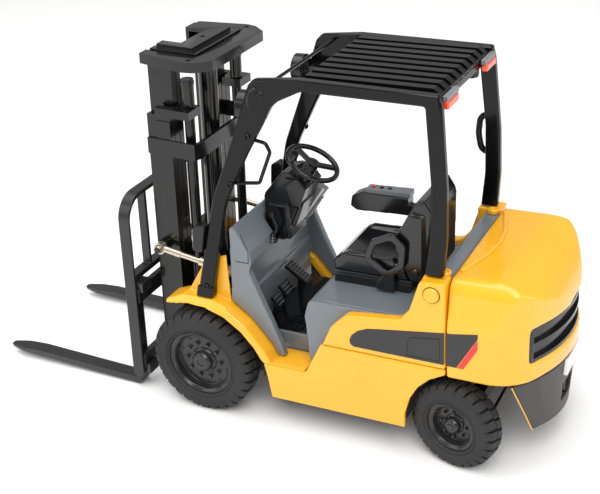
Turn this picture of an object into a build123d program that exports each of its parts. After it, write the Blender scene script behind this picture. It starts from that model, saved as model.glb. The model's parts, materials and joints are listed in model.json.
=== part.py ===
"""Toy counterbalance forklift, about 1:25, built as separate pieces.

Millimetres. +X points forward along the forks, +Y to the driver's left, +Z up.
The origin is on the floor, under the middle of the bounding box.
"""
from build123d import *
from math import atan2, cos, degrees, hypot, radians, sin
import os

os.makedirs("parts", exist_ok=True)

# ---- driving dimensions ------------------------------------------------------
FRONT_AXLE_X = 10.0         # everything is drawn from here, then centred when saved
TIP_X = FRONT_AXLE_X + 63.0
REAR_X = FRONT_AXLE_X - 85.0
WHEELBASE = 65.2
KINGPIN_X = FRONT_AXLE_X - WHEELBASE

DRIVE_RADIUS = 13.4         # front tyres
DRIVE_WIDTH = 7.6
DRIVE_Y = 19.3
DRIVE_RIM_RADIUS = 8.6
STEER_RADIUS = 10.6         # rear tyres
STEER_WIDTH = 6.4
STEER_RIM_RADIUS = 6.0
KINGPIN_Y = 13.8
STEER_OFFSET = 5.7          # kingpin to the middle of the steered wheel
STEER_AT_REST = -12.85      # degrees about +Z, the wheels stand steered

BODY_HALF_WIDTH = 22.2
SKIRT_BOTTOM_Z = 7.9
WAIST_Z = 25.2              # seam between the skirts and the hood sides
SEAM_X = -52.2              # seam between the hood sides and the counterweight
FLOOR_Z = 21.6
STEP_Z = 17.2
DECK_Z = 34.5

GUARD_TOP_Z = 86.4
GUARD_HALF_WIDTH = 18.0
GUARD_FLARE = 2.7           # degrees, the pillars spread towards their feet

MAST_LEAN = -2.3            # degrees about +Y, the mast stands tilted back
OUTER_TOP_Z = 72.5
RAIL_TOP_Z = 85.0
RAIL_REAR_X = 19.0
RAIL_FRONT_X = 25.2
RAIL_DEPTH = RAIL_FRONT_X - RAIL_REAR_X
FLANGE = 0.8
FORK_FACE_X = 31.9
FORK_THICK = 1.7
FORK_WIDTH = 3.9
FORK_Y = 17.15
FORK_BOTTOM_Z = -0.5        # before the mast leans back
BACKREST_HALF_WIDTH = 20.0

TILT_PIN = (21.9, 39.75)    # rod eye on the mast, x and z as it stands
TILT_PIVOT = (3.2, 36.7)    # barrel eye on the frame
TILT_Y = 16.2
TILT_PIN_RADIUS = 0.8
TILT_PIN_CLEARANCE = 0.30   # the linkage is left open at this pin
ROD_RADIUS = 0.7

RUNNING = 0.05              # radial clearance of every turning or sliding fit
STEERING_TILT = 28.0        # degrees, steering wheel's axis from vertical
STEERING_CENTRE = (-13.3, 2.4, 60.8)
STEERING_RADIUS = 6.1


ACROSS = Plane.YZ           # looks along X: first number is Y, second is Z


# ---- helpers -----------------------------------------------------------------
def block(x0, x1, y0, y1, z0, z1):
    """Box between two corners."""
    size = Box(abs(x1 - x0), abs(y1 - y0), abs(z1 - z0))
    return Pos((x0 + x1) / 2, (y0 + y1) / 2, (z0 + z1) / 2) * size


def side_plate(points, y0, y1, radii=None):
    """Outline in X and Z, extruded from y0 to y1; radii rounds chosen corners."""
    face = make_face(Polyline(*[(x, z) for x, z in points], close=True))
    if radii:
        for (x, z), radius in radii.items():
            corner = face.vertices().sort_by_distance((x, z, 0))[0]
            face = fillet(corner, radius)
    solid = extrude(face, abs(y1 - y0))
    return Pos(0, max(y0, y1), 0) * (Rot(90, 0, 0) * solid)


def plan_plate(points, z0, z1, radii=None):
    """Outline in X and Y, extruded from z0 to z1."""
    face = make_face(Polyline(*points, close=True))
    if radii:
        for (x, y), radius in radii.items():
            corner = face.vertices().sort_by_distance((x, y, 0))[0]
            face = fillet(corner, radius)
    return Pos(0, 0, z0) * extrude(face, z1 - z0)


def front_plate(points, x0, x1, radii=None):
    """Outline in Y and Z, extruded from x0 to x1."""
    face = make_face(Polyline(*points, close=True))
    if radii:
        for (y, z), radius in radii.items():
            corner = face.vertices().sort_by_distance((y, z, 0))[0]
            face = fillet(corner, radius)
    return ACROSS.offset(x0) * extrude(face, x1 - x0)


def rod(start, end, radius):
    """Round bar between two points."""
    axis = Vector(*end) - Vector(*start)
    plane = Plane(origin=start, z_dir=axis)
    return plane * Cylinder(radius, axis.length, align=(Align.CENTER, Align.CENTER, Align.MIN))


def y_cylinder(x, z, radius, y0, y1):
    """Round bar along Y."""
    return rod((x, min(y0, y1), z), (x, max(y0, y1), z), radius)


def mirrored(shape):
    """The same piece on the other side."""
    return mirror(shape, about=Plane.XZ)


def lean(shape):
    """Turns a piece of the upright mast to the way the mast stands."""
    pivot = Pos(FRONT_AXLE_X, 0, DRIVE_RADIUS)
    return pivot * (Rot(0, MAST_LEAN, 0) * (pivot.inverse() * shape))


def upright(x, z):
    """The upright-mast place of a point given as the mast stands."""
    angle = radians(-MAST_LEAN)
    dx = x - FRONT_AXLE_X
    dz = z - DRIVE_RADIUS
    return (FRONT_AXLE_X + dx * cos(angle) + dz * sin(angle),
            DRIVE_RADIUS - dx * sin(angle) + dz * cos(angle))


def save(name, *pieces):
    """Writes one node, centred on the origin; several pieces in it stay separate solids."""
    centre = Pos(-(TIP_X + REAR_X) / 2, 0, 0)
    solids = [centre * solid for piece in pieces for solid in piece.solids()]
    shape = solids[0] if len(solids) == 1 else Compound(children=solids)
    export_step(shape, "parts/%s.step" % name)


# ---- wheels ------------------------------------------------------------------
def tyre(radius, bore, width, lugs, lug_depth, lug_width):
    """Tyre about the Y axis, with lug notches round both shoulders."""
    half = width / 2
    shoulder = 1.1
    profile = Polyline((bore, -half + 0.5), (bore + 0.6, -half), (radius - shoulder - 1.2, -half),
                       (radius - 0.35, -half + shoulder), (radius, -half + shoulder + 0.9),
                       (radius, half - shoulder - 0.9), (radius - 0.35, half - shoulder),
                       (radius - shoulder - 1.2, half), (bore + 0.6, half), (bore, half - 0.5),
                       close=True)
    ring = revolve(make_face(profile), Axis.Y)
    cutters = []
    for side in (-1, 1):
        notch = Pos(radius - lug_depth / 2 + 0.3, side * (half - 0.6), 0)
        notch = notch * Box(lug_depth + 0.6, 2.8, lug_width)
        for index in range(lugs):
            turn = (index + (0.25 if side > 0 else 0.75)) * 360 / lugs
            cutters.append(Rot(0, turn, 0) * notch)
    return ring - cutters


def rim(radius, width, hub_radius, nuts, nut_circle, nut_radius, bore):
    """Rim about the Y axis, its outer face towards +Y."""
    half = width / 2
    disc_y = half - 2.4
    profile = Polyline((bore, disc_y - 1.4), (radius - 1.3, disc_y - 1.4), (radius - 1.3, -half + 0.7),
                       (radius, -half + 0.7), (radius, half - 0.55), (radius - 0.7, half - 0.25),
                       (radius - 1.3, half - 0.8), (radius - 1.7, disc_y), (hub_radius + 0.4, disc_y),
                       (hub_radius, half - 1.1), (hub_radius - 0.5, half - 0.6), (bore, half - 0.6),
                       close=True)
    wheel = revolve(make_face(profile), Axis.Y)
    for index in range(nuts):
        angle = radians(index * 360 / nuts)
        x = nut_circle * cos(angle)
        z = nut_circle * sin(angle)
        wheel += y_cylinder(x, z, nut_radius, disc_y - 0.3, disc_y + 0.75)
    return wheel


def wheels():
    """Four tyres and rims; the rear pair stands steered."""
    drive_tyre = tyre(DRIVE_RADIUS, DRIVE_RIM_RADIUS, DRIVE_WIDTH, 28, 1.3, 0.8)
    drive_rim = rim(DRIVE_RIM_RADIUS, DRIVE_WIDTH, 2.5, 10, 4.6, 0.5, 0.9 + RUNNING)
    steer_tyre = tyre(STEER_RADIUS, STEER_RIM_RADIUS, STEER_WIDTH, 24, 1.2, 0.75)
    steer_rim = rim(STEER_RIM_RADIUS, STEER_WIDTH, 1.8, 8, 3.2, 0.35, 0.7 + RUNNING)
    left_front = Pos(FRONT_AXLE_X, DRIVE_Y, DRIVE_RADIUS)
    right_front = Pos(FRONT_AXLE_X, -DRIVE_Y, DRIVE_RADIUS)
    flip = Rot(0, 0, 180)
    save("drive_tyre_left", left_front * drive_tyre)
    save("drive_rim_left", left_front * drive_rim)
    save("drive_tyre_right", right_front * (flip * drive_tyre))
    save("drive_rim_right", right_front * (flip * drive_rim))
    steered = Rot(0, 0, STEER_AT_REST)
    left_king = Pos(KINGPIN_X, KINGPIN_Y, STEER_RADIUS) * steered
    right_king = Pos(KINGPIN_X, -KINGPIN_Y, STEER_RADIUS) * steered
    left_rear = left_king * Pos(0, STEER_OFFSET, 0)
    right_rear = right_king * Pos(0, -STEER_OFFSET, 0)
    save("steer_tyre_left", left_rear * steer_tyre)
    save("steer_rim_left", left_rear * steer_rim)
    save("steer_tyre_right", right_rear * (flip * steer_tyre))
    save("steer_rim_right", right_rear * (flip * steer_rim))


# ---- axles and steering ------------------------------------------------------
SPINDLE_RADIUS = 0.7
ARM_LENGTH = 5.0
TIE_PIN_RADIUS = 0.45


def front_axle():
    """Drive axle: tube across the truck, differential housing and stub shafts."""
    tube = y_cylinder(FRONT_AXLE_X, DRIVE_RADIUS, 2.2, -14.9, 14.9)
    bell = Pos(FRONT_AXLE_X, 0, DRIVE_RADIUS) * Sphere(4.3)
    nose = block(FRONT_AXLE_X - 6.5, FRONT_AXLE_X, -3.0, 3.0, DRIVE_RADIUS - 2.6, DRIVE_RADIUS + 2.6)
    shaft = y_cylinder(FRONT_AXLE_X, DRIVE_RADIUS, 0.9, -22.3, 22.3)
    save("front_axle", tube + bell + nose + shaft)


def steer_axle():
    """Axle beam with a fork at each end that holds a kingpin."""
    z = STEER_RADIUS
    beam = block(KINGPIN_X - 1.6, KINGPIN_X + 1.6, -11.6, 11.6, z - 1.5, z + 1.5)
    beam += block(KINGPIN_X - 2.4, KINGPIN_X + 2.4, -4.0, 4.0, z + 1.0, z + 4.6)
    for side in (-1, 1):
        post = block(KINGPIN_X - 1.3, KINGPIN_X + 1.3, side * 10.4, side * 11.8, z - 3.0, z + 3.0)
        beam += post
        for low in (z - 3.0, z + 2.1):
            ear = block(KINGPIN_X - 1.3, KINGPIN_X + 1.3, side * 10.6, side * KINGPIN_Y, low, low + 0.9)
            ear += Pos(KINGPIN_X, side * KINGPIN_Y, low + 0.45) * Cylinder(1.3, 0.9)
            beam += ear
        beam += Pos(KINGPIN_X, side * KINGPIN_Y, z) * Cylinder(0.55, 6.2)
    save("steer_axle", beam)


def knuckle(side):
    """Steering knuckle: sleeve on the kingpin, spindle outwards and arm backwards."""
    sleeve = Cylinder(1.25, 4.0)
    sleeve += rod((0, side * 0.9, 0), (0, side * (STEER_OFFSET + 2.7), 0), SPINDLE_RADIUS)
    sleeve += rod((0, side * 0.9, 0), (0, side * 2.4, 0), 1.1)
    sleeve += block(-ARM_LENGTH, 0, -0.6, 0.6, -1.6, -0.8)
    sleeve += Pos(-ARM_LENGTH, 0, -1.2) * Cylinder(0.95, 0.8)
    sleeve += Pos(-ARM_LENGTH, 0, -0.3) * Cylinder(TIE_PIN_RADIUS, 1.4)
    sleeve -= Cylinder(0.55 + RUNNING, 4.4)
    place = Pos(KINGPIN_X, side * KINGPIN_Y, STEER_RADIUS) * Rot(0, 0, STEER_AT_REST)
    return place * sleeve


def tie_rod_end(side):
    """Where a steering arm's pin stands as the wheels are steered at rest."""
    angle = radians(STEER_AT_REST)
    return (KINGPIN_X - ARM_LENGTH * cos(angle), side * KINGPIN_Y - ARM_LENGTH * sin(angle))


def tie_rod():
    """Link between the two steering arms, an eye at each end."""
    z = STEER_RADIUS - 0.2
    bar = None
    for side in (-1, 1):
        x, y = tie_rod_end(side)
        eye = Pos(x, y, z) * Cylinder(0.95, 0.9)
        bar = eye if bar is None else bar + eye
    x_left, y_left = tie_rod_end(1)
    x_right, y_right = tie_rod_end(-1)
    bar += rod((x_right, y_right, z), (x_left, y_left, z), 0.4)
    for side in (-1, 1):
        x, y = tie_rod_end(side)
        bar -= Pos(x, y, z) * Cylinder(TIE_PIN_RADIUS + RUNNING, 2.0)
    return bar


def steering_gear():
    """Rear axle, knuckles and tie rod."""
    steer_axle()
    save("knuckle_left", knuckle(1))
    save("knuckle_right", knuckle(-1))
    save("tie_rod", tie_rod())


# ---- chassis and body --------------------------------------------------------
WELL_FRONT_X = -41.6
WELL_REAR_X = -69.4
FRAME_HALF_WIDTH = 9.2


def chassis():
    """Frame tray under the floor, a narrow spine over the steer axle, front nose."""
    tray = block(WELL_FRONT_X, -9.0, -20.9, 20.9, SKIRT_BOTTOM_Z - 0.6, 16.6)
    tray += block(-9.0, -2.2, -13.8, 13.8, SKIRT_BOTTOM_Z - 0.6, 16.6)
    spine = block(WELL_REAR_X, WELL_FRONT_X + 1, -FRAME_HALF_WIDTH, FRAME_HALF_WIDTH, STEER_RADIUS + 4.6, 23.2)
    nose = block(-2.3, FRONT_AXLE_X - 6.5, -13.8, 13.8, 8.8, 20.6)
    return tray + spine + nose


ARCH_LIMB = [(-42.6, SKIRT_BOTTOM_Z), (-42.7, 11.6), (-43.9, 15.9), (-45.9, 19.4), (-48.6, 22.0), (-52.2, 23.9)]


def skirt(side):
    """Lower side panel between the wheels."""
    outline = [(-8.9, SKIRT_BOTTOM_Z), (-8.0, 13.6), (-7.3, 16.9), (-18.2, 16.9), (-22.4, WAIST_Z),
               (SEAM_X, WAIST_Z)] + ARCH_LIMB[::-1]
    return side_plate(outline, side * 21.0, side * BODY_HALF_WIDTH)


HOOD_TOP = [(-22.9, WAIST_Z + 0.15), (-25.2, 30.5), (-29.0, 34.2), (-41.6, 35.6), (-44.0, 38.4),
            (-46.4, 45.8), (-52.2, 46.2)]


def hood_side(side):
    """Upper side panel with the rear pillar's foot."""
    outline = HOOD_TOP + [(-52.2, WAIST_Z + 0.15)]
    radii = {(-25.2, 30.5): 4.0, (-29.0, 34.2): 3.0, (-41.6, 35.6): 2.5, (-46.4, 45.8): 0.8}
    panel = side_plate(outline, side * 19.4, side * (BODY_HALF_WIDTH - 0.15), radii)
    foot = block(-52.2, -46.3, side * 17.4, side * 19.6, 34.8, 46.0)
    return panel + foot


def counterweight_outline():
    """Plan outline: straight sides, round corners, bowed back."""
    half = BODY_HALF_WIDTH
    front = SEAM_X - 0.15
    corner_x = REAR_X + 3.8
    return make_face([Line((front, half), (-60.0, half)),
                      ThreePointArc((-60.0, half), (-66.9, half - 1.8), (corner_x, 15.0)),
                      ThreePointArc((corner_x, 15.0), (REAR_X, 0), (corner_x, -15.0)),
                      ThreePointArc((corner_x, -15.0), (-66.9, 1.8 - half), (-60.0, -half)),
                      Line((-60.0, -half), (front, -half)),
                      Line((front, -half), (front, half))])


def counterweight_block():
    """The plan outline carried up, before the top is shaped."""
    return Pos(0, 0, 23.4) * extrude(counterweight_outline(), 23.6)


def rear_band(near, far, z0, z1, half_width):
    """Strip that follows the bowed back, between two depths below its surface."""
    strip = Pos(near, 0, 0) * counterweight_block() - Pos(far, 0, 0) * counterweight_block()
    return strip & block(REAR_X - 2, -62.0, -half_width, half_width, z0, z1)


def counterweight():
    """Cast rear body: bowed plan, domed back and rounded shoulders."""
    base = counterweight_block()
    profile = make_face([Line((-52.0, 23.0), (-52.0, 46.3)), Line((-52.0, 46.3), (-61.0, 46.5)),
                         ThreePointArc((-61.0, 46.5), (-71.6, 42.6), (-74.9, 34.5)),
                         Line((-74.9, 34.5), (-76.0, 34.5)), Line((-76.0, 34.5), (-76.0, 23.0)),
                         Line((-76.0, 23.0), (-52.0, 23.0))])
    side_shape = Pos(0, 30, 0) * (Rot(90, 0, 0) * extrude(profile, 60))
    half = BODY_HALF_WIDTH
    shoulders = make_face([Line((-half, 20), (half, 20)), Line((half, 20), (half, 35.5)),
                           Line((half, 35.5), (half - 1.6, 43.0)),
                           ThreePointArc((half - 1.6, 43.0), (half - 3.2, 46.0), (half - 6.5, 46.9)),
                           Line((half - 6.5, 46.9), (6.5 - half, 46.9)),
                           ThreePointArc((6.5 - half, 46.9), (3.2 - half, 46.0), (1.6 - half, 43.0)),
                           Line((1.6 - half, 43.0), (-half, 35.5)), Line((-half, 35.5), (-half, 20))])
    cross_shape = ACROSS.offset(-80) * extrude(shoulders, 40)
    weight = base & side_shape & cross_shape
    weight -= rear_band(-1.0, 1.9, 28.0, 36.2, 17.6)
    weight -= block(-66.0, -40.0, -9.4, 9.4, 22.0, 24.0)
    return weight


BUMPER_BOTTOM_Z = 8.0
BUMPER_TOP_Z = 23.3
BUMPER_THICK = 1.2
TOW_PIN_X = -72.6
TOW_PIN_RADIUS = 0.6


def rear_grille():
    """Black louvre in the back of the counterweight: frame and a vane between two slots."""
    grille = rear_band(0.5, 1.9, 28.0, 36.2, 17.6)
    for low in (28.8, 32.6):
        grille -= rear_band(0.2, 1.4, low, low + 2.8, 16.6)
    return grille


def bumper_plan(half, front, corner, back, z):
    """Plan outline of the apron at one height: splayed sides and a bowed back."""
    corner_x, corner_y = corner
    outline = make_face([Line((front, half), corner),
                         ThreePointArc(corner, (back, 0), (corner_x, -corner_y)),
                         Line((corner_x, -corner_y), (front, -half)),
                         Line((front, -half), (front, half))])
    return Pos(0, 0, z) * outline


def rear_bumper():
    """Dark lower apron under the counterweight, with the drawbar pocket."""
    foot = bumper_plan(12.9, -69.3, (-71.6, 9.0), -73.7, BUMPER_BOTTOM_Z)
    top = bumper_plan(20.7, -66.6, (-70.9, 15.2), -74.6, BUMPER_TOP_Z)
    outer = loft([foot, top])
    inner = Pos(BUMPER_THICK, 0, 0) * outer
    thick = block(-78.0, -69.6, -5.6, 5.6, BUMPER_BOTTOM_Z, BUMPER_TOP_Z)
    apron = (outer - inner) + (outer & thick)
    apron -= block(-78.0, -71.2, -4.4, 4.4, 11.4, 16.4)
    apron -= Pos(TOW_PIN_X, 0, 13.0) * Cylinder(TOW_PIN_RADIUS + RUNNING, 14.0)
    return apron


def tow_pin():
    """Pin that drops through the drawbar pocket."""
    return Pos(TOW_PIN_X, 0, 13.4) * Cylinder(TOW_PIN_RADIUS, 9.4)


def body():
    """Frame, side panels, counterweight and the pieces on it."""
    save("chassis", chassis())
    save("skirt_left", skirt(1))
    save("skirt_right", skirt(-1))
    save("hood_side_left", hood_side(1))
    save("hood_side_right", hood_side(-1))
    save("counterweight", counterweight())
    save("rear_grille", rear_grille())
    save("rear_bumper", rear_bumper())
    save("tow_pin", tow_pin())


# ---- front of the truck ------------------------------------------------------
FENDER_TOP = [(18.3, 29.3), (14.0, 30.85), (6.0, 30.85), (2.4, 29.9), (-3.0, 26.0), (-8.0, 19.9),
              (-9.3, STEP_Z), (-18.0, STEP_Z)]
STEP_RIBS = 9
STEP_RIB_PITCH = 0.85


def fender(side):
    """Front mudguard over the wheel, with the step behind it and the wall beside the mast."""
    arch = [(-7.4, 16.9), (-6.6, 17.6), (-5.0, 20.4), (-1.8, 24.1), (2.6, 27.3), (7.4, 28.9),
            (12.6, 29.1), (18.2, 28.4)]
    outline = FENDER_TOP + [(-18.0, 16.95), (-9.0, 16.95)] + arch
    band = side_plate(outline, side * 15.7, side * 22.2)
    shoulder = front_plate([(side * 20.4, 40), (side * 20.4, 31.4), (side * 22.25, 28.6), (side * 23, 28.6),
                            (side * 23, 40)], 2.0, 20.0)
    band -= shoulder
    wall = side_plate([(14.0, 30.5), (8.5, 39.6), (2.7, 41.9), (2.4, 29.5)], side * 17.5, side * 18.05)
    pin = y_cylinder(TILT_PIVOT[0], TILT_PIVOT[1], 0.6, side * 15.2, side * 17.8)
    step = block(-18.0, -9.2, side * 14.0, side * 15.8, 16.65, STEP_Z)
    mudguard = band + wall + pin + step
    for index in range(STEP_RIBS):
        x = -10.4 - index * STEP_RIB_PITCH
        mudguard += block(x, x + 0.35, side * 15.0, side * 21.4, STEP_Z - 0.1, STEP_Z + 0.25)
    return mudguard


def cowl():
    """Front cowl: bulkhead, sloping shelf, a leg each side, floor and its risers."""
    outline = [(1.9, 30.4), (1.0, 49.2), (0.1, 49.6), (-3.9, 43.6), (-4.1, 40.8), (-3.3, 38.6), (-5.9, 32.0),
               (-8.3, 26.5), (-10.5, 20.6), (-11.3, 17.6), (-9.5, 17.6), (-8.2, 20.3), (-3.0, 26.4)]
    shell = side_plate(outline, -18.5, 18.5, {(-3.9, 43.6): 1.2, (-3.3, 38.6): 2.5, (-4.1, 40.8): 0.8})
    shell -= side_plate([(-2.2, 15.0), (-1.6, 39.6), (-3.4, 40.7), (-9.5, 40.7), (-20.0, 15.0)], -16.6, 16.6)
    shell -= block(-20.0, -1.2, -6.2, 6.2, 41.2, 60.0)
    floor = block(-17.3, -2.3, -13.8, 13.8, 16.7, FLOOR_Z)
    bulkhead = block(-2.3, 1.0, -15.4, 15.4, 20.7, 32.0)
    return shell + floor + bulkhead


def dash_column():
    """Black cover round the steering column, leaning back towards the driver."""
    outline = [(-1.3, 41.3), (-1.6, 52.8), (-6.4, 58.6), (-8.4, 59.0), (-12.6, 55.6), (-6.2, 41.3)]
    cover = side_plate(outline, -2.6, 5.4, {(-1.6, 52.8): 2.0, (-12.6, 55.6): 0.8})
    axis = Vector(-sin(radians(STEERING_TILT)), 0, cos(radians(STEERING_TILT)))
    top = Vector(*STEERING_CENTRE)
    shaft_end = top + axis * 0.4
    shaft_start = top - axis * 5.0
    boss_end = top - axis * 1.9
    cover += rod(tuple(shaft_start), tuple(boss_end), 1.5)
    cover += rod(tuple(shaft_start), tuple(shaft_end), 0.6)
    return cover


def dash_console():
    """Grey ribbed lever box on the right of the column."""
    along = [(-1.3, 41.3), (-1.9, 43.4), (-10.4, 53.2), (-13.4, 51.4), (-6.6, 41.3)]
    box = side_plate(along, -5.5, -2.8)
    for index in range(4):
        x = -10.6 + index * 0.95
        z = 48.0 - index * 1.3
        rib = Pos(x, -5.6, z) * (Rot(0, 37, 0) * Box(2.2, 0.5, 0.45))
        box += rib
    return box


def pedals():
    """Accelerator, brake and inching pedal, each on a short arm from the floor."""
    accelerator = Pos(-5.7, -1.6, 29.0) * (Rot(0, -36, 0) * Box(7.0, 3.2, 0.9))
    accelerator += block(-6.6, -5.6, -2.2, -1.0, FLOOR_Z + 0.6, 28.8)
    brake = Pos(-4.8, 3.6, 27.2) * (Rot(0, -52, 0) * Box(3.4, 4.0, 0.8))
    brake += rod((-4.7, 3.6, 26.9), (-3.6, 3.6, FLOOR_Z + 0.8), 0.5)
    inching = Pos(-4.8, 8.2, 26.2) * (Rot(0, -52, 0) * Box(3.2, 3.2, 0.8))
    inching += rod((-4.7, 8.2, 25.9), (-3.6, 8.2, FLOOR_Z + 0.8), 0.5)
    return [accelerator, brake, inching]


def floor_mat():
    """Rubber mat with rows of raised pads."""
    mat = block(-17.0, -2.4, -13.4, 13.4, FLOOR_Z, FLOOR_Z + 0.5)
    for row in range(5):
        for column in range(9):
            x = -16.2 + row * 1.6
            y = -12.0 + column * 3.0
            mat += block(x, x + 0.9, y - 1.1, y + 1.1, FLOOR_Z + 0.4, FLOOR_Z + 0.8)
    for pedal in pedals():
        mat -= pedal
    return mat


def front_end():
    """Mudguards, cowl, column and floor."""
    save("front_fender_left", fender(1))
    save("front_fender_right", fender(-1))
    save("cowl", cowl())
    save("dash_column", dash_column())
    save("dash_console", dash_console())
    save("pedals", *pedals())
    save("floor_mat", floor_mat())


# ---- seat --------------------------------------------------------------------
def seat_deck():
    """Grey hood lid the seat stands on, running down in front to the floor."""
    outline = [(-18.3, 16.7), (-17.4, 30.5), (-18.6, DECK_Z), (-45.8, DECK_Z), (-45.8, 23.4), (-40.5, 23.4),
               (-40.5, 16.7)]
    deck = side_plate(outline, -19.3, 19.3, {(-17.4, 30.5): 2.4, (-18.6, DECK_Z): 1.2})
    tail = side_plate([(-45.0, DECK_Z - 1), (-52.0, DECK_Z - 1), (-52.0, 45.4), (-48.6, 45.4), (-47.0, DECK_Z)],
                      -17.2, 17.2)
    return deck + tail


def seat():
    """Seat base, cushion, backrest, hip restraint and armrest console."""
    base = side_plate([(-20.0, DECK_Z), (-20.6, 37.9), (-39.6, 37.9), (-38.8, DECK_Z)], -8.4, 8.4)
    cushion = side_plate([(-20.6, 38.0), (-20.2, 40.4), (-22.4, 42.4), (-37.0, 42.0), (-38.6, 38.0)],
                         -8.8, 8.8, {(-20.2, 40.4): 1.2, (-22.4, 42.4): 1.5})
    back = side_plate([(-38.8, 38.0), (-35.8, 45.6), (-36.4, 49.2), (-40.0, 57.2), (-42.6, 57.8), (-44.4, 55.0),
                       (-42.8, 38.0)], -8.6, 8.6, {(-40.0, 57.2): 1.2, (-42.6, 57.8): 0.9, (-44.4, 55.0): 0.9})
    corners = [(-28.6, 42.4), (-30.6, 47.6), (-35.6, 50.0), (-38.9, 47.2), (-38.4, 41.6), (-34.2, 38.2)]
    inner = [(-30.3, 43.1), (-31.6, 46.4), (-35.3, 48.2), (-37.3, 46.4), (-36.9, 42.3), (-34.2, 40.2)]
    ring = side_plate(corners, 9.3, 10.3, {point: 1.8 for point in corners})
    ring -= side_plate(inner, 9.0, 10.6, {point: 1.0 for point in inner})
    ring += side_plate([(-35.9, 35.4), (-31.6, 35.4), (-31.6, 37.0), (-33.4, 39.4), (-35.9, 39.4)], 9.3, 10.3)
    ring += block(-35.9, -31.6, 8.4, 9.5, 35.4, 36.8)
    console = side_plate([(-16.4, 45.0), (-16.8, 47.6), (-19.4, 48.8), (-31.4, 48.8), (-31.4, 44.4), (-18.0, 43.9)],
                         -14.4, -10.6, {(-16.8, 47.6): 0.8, (-19.4, 48.8): 0.8})
    console += block(-42.6, -31.0, -12.6, -10.6, 44.6, 47.2)
    console += block(-42.6, -39.6, -12.6, -8.6, 44.6, 47.6)
    top = side_plate([(-19.8, 48.8), (-20.4, 49.8), (-31.8, 50.2), (-31.8, 48.8)], -14.1, -10.8)
    save("seat_deck", seat_deck())
    save("seat_base", base)
    save("seat_cushion", cushion)
    save("seat_backrest", back)
    save("hip_restraint", ring)
    save("armrest_console", console)
    save("armrest_top", top)


# ---- overhead guard ----------------------------------------------------------
def flared(shape, side):
    """Spreads a guard side so that its feet stand further out than its top."""
    hinge = Pos(0, side * GUARD_HALF_WIDTH, GUARD_TOP_Z)
    return hinge * (Rot(side * GUARD_FLARE, 0, 0) * (hinge.inverse() * shape))


def guard_side(side):
    """Front pillar, roof rail and rear pillar as one welded frame."""
    outer = [(10.0, 31.1), (4.2, 56.2), (-0.9, 68.8), (-6.6, 83.9), (-8.0, 85.4), (-18.2, GUARD_TOP_Z),
             (-49.6, 85.9), (-50.2, 83.2), (-51.5, 66.0), (-51.6, 55.0), (-50.9, 46.35)]
    inner = [(-46.9, 46.35), (-47.9, 55.0), (-48.0, 67.0), (-46.6, 83.2), (-19.0, 83.6), (-12.4, 80.4), (-5.4, 68.2),
             (0.8, 56.2), (6.1, 31.1)]
    radii = {(4.2, 56.2): 20.0, (-51.5, 66.0): 20.0, (-51.6, 55.0): 20.0, (-12.4, 80.4): 6.0,
             (0.8, 56.2): 18.0, (-19.0, 83.6): 3.0, (-47.9, 55.0): 18.0, (-48.0, 67.0): 18.0}
    frame = side_plate(outer + inner, side * (GUARD_HALF_WIDTH - 2.0), side * GUARD_HALF_WIDTH, radii)
    return flared(frame, side)


SLAT_PITCH = 3.5
SLATS = 9


def guard_grille():
    """Roof: two cross beams with fore-and-aft bars welded on them."""
    half = GUARD_HALF_WIDTH - 2.1
    grille = block(-21.6, -19.0, -half, half, 83.4, 85.3)
    grille += block(-49.2, -46.4, -half, half, 83.0, 85.0)
    for index in range(SLATS):
        y = (index - (SLATS - 1) / 2) * SLAT_PITCH
        grille += side_plate([(-18.9, 84.8), (-18.9, 86.4), (-47.4, 86.2), (-49.4, 84.6), (-49.0, 84.4)],
                             y - 1.0, y + 1.0)
    return grille


def handle(points, radius, bend):
    """Bent round bar through the given points."""
    path = FilletPolyline(*points, radius=bend)
    start = Plane(origin=path @ 0, z_dir=path % 0)
    return sweep(start * Circle(radius), path=path)


def lamps():
    """Head, signal and tail lamps, and the bar between the guard's front corners."""
    lamp_x = -3.6
    lamp_z = 77.7
    shells = []
    lenses = []
    for side in (-1, 1):
        y = side * 13.6
        shell = rod((lamp_x - 1.4, y, lamp_z), (lamp_x + 1.2, y, lamp_z), 3.4)
        shell -= rod((lamp_x + 0.6, y, lamp_z), (lamp_x + 1.3, y, lamp_z), 2.9)
        arm = block(lamp_x - 4.6, lamp_x - 1.2, side * 12.4, side * 17.0, lamp_z - 0.9, lamp_z + 0.9)
        shells.append(shell + arm - guard_side(side))
        lenses.append(rod((lamp_x + 0.6, y, lamp_z), (lamp_x + 1.1, y, lamp_z), 2.9))
    save("headlamps", *shells)
    save("headlamp_lenses", *lenses)
    save("lamp_bar", rod((-11.4, -16.0, 84.4), (-11.4, 16.0, 84.4), 0.4))
    signals = []
    for side in (-1, 1):
        signals.append(side_plate([(9.6, 43.4), (9.2, 49.2), (7.4, 50.2), (5.9, 49.6), (7.2, 43.2)],
                                  side * 18.4, side * 21.2, {(9.2, 49.2): 0.8, (7.4, 50.2): 0.7}))
    save("signal_lamps", *signals)
    housings = []
    reds = []
    for side in (-1, 1):
        housings.append(block(-50.6, -49.5, side * 8.6, side * 15.6, 83.9, 85.0))
        reds.append(block(-50.8, -49.4, side * 9.2, side * 15.6, 82.2, 83.9))
    save("tail_lamps", *housings)
    save("tail_lamp_lenses", *reds)


def guard():
    """Overhead guard, lamps and grab handle."""
    save("guard_side_left", guard_side(1))
    save("guard_side_right", guard_side(-1))
    save("guard_grille", guard_grille())
    grip = handle([(-5.2, 17.3, 71.6), (-9.6, 17.3, 70.9), (-10.6, 17.3, 68.9), (-7.4, 17.3, 61.2),
                   (-1.2, 17.9, 60.6)], 0.42, 0.9)
    grip = grip - guard_side(1)
    save("grab_handle", grip.solids().sort_by(SortBy.VOLUME)[-1])
    lamps()


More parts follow.
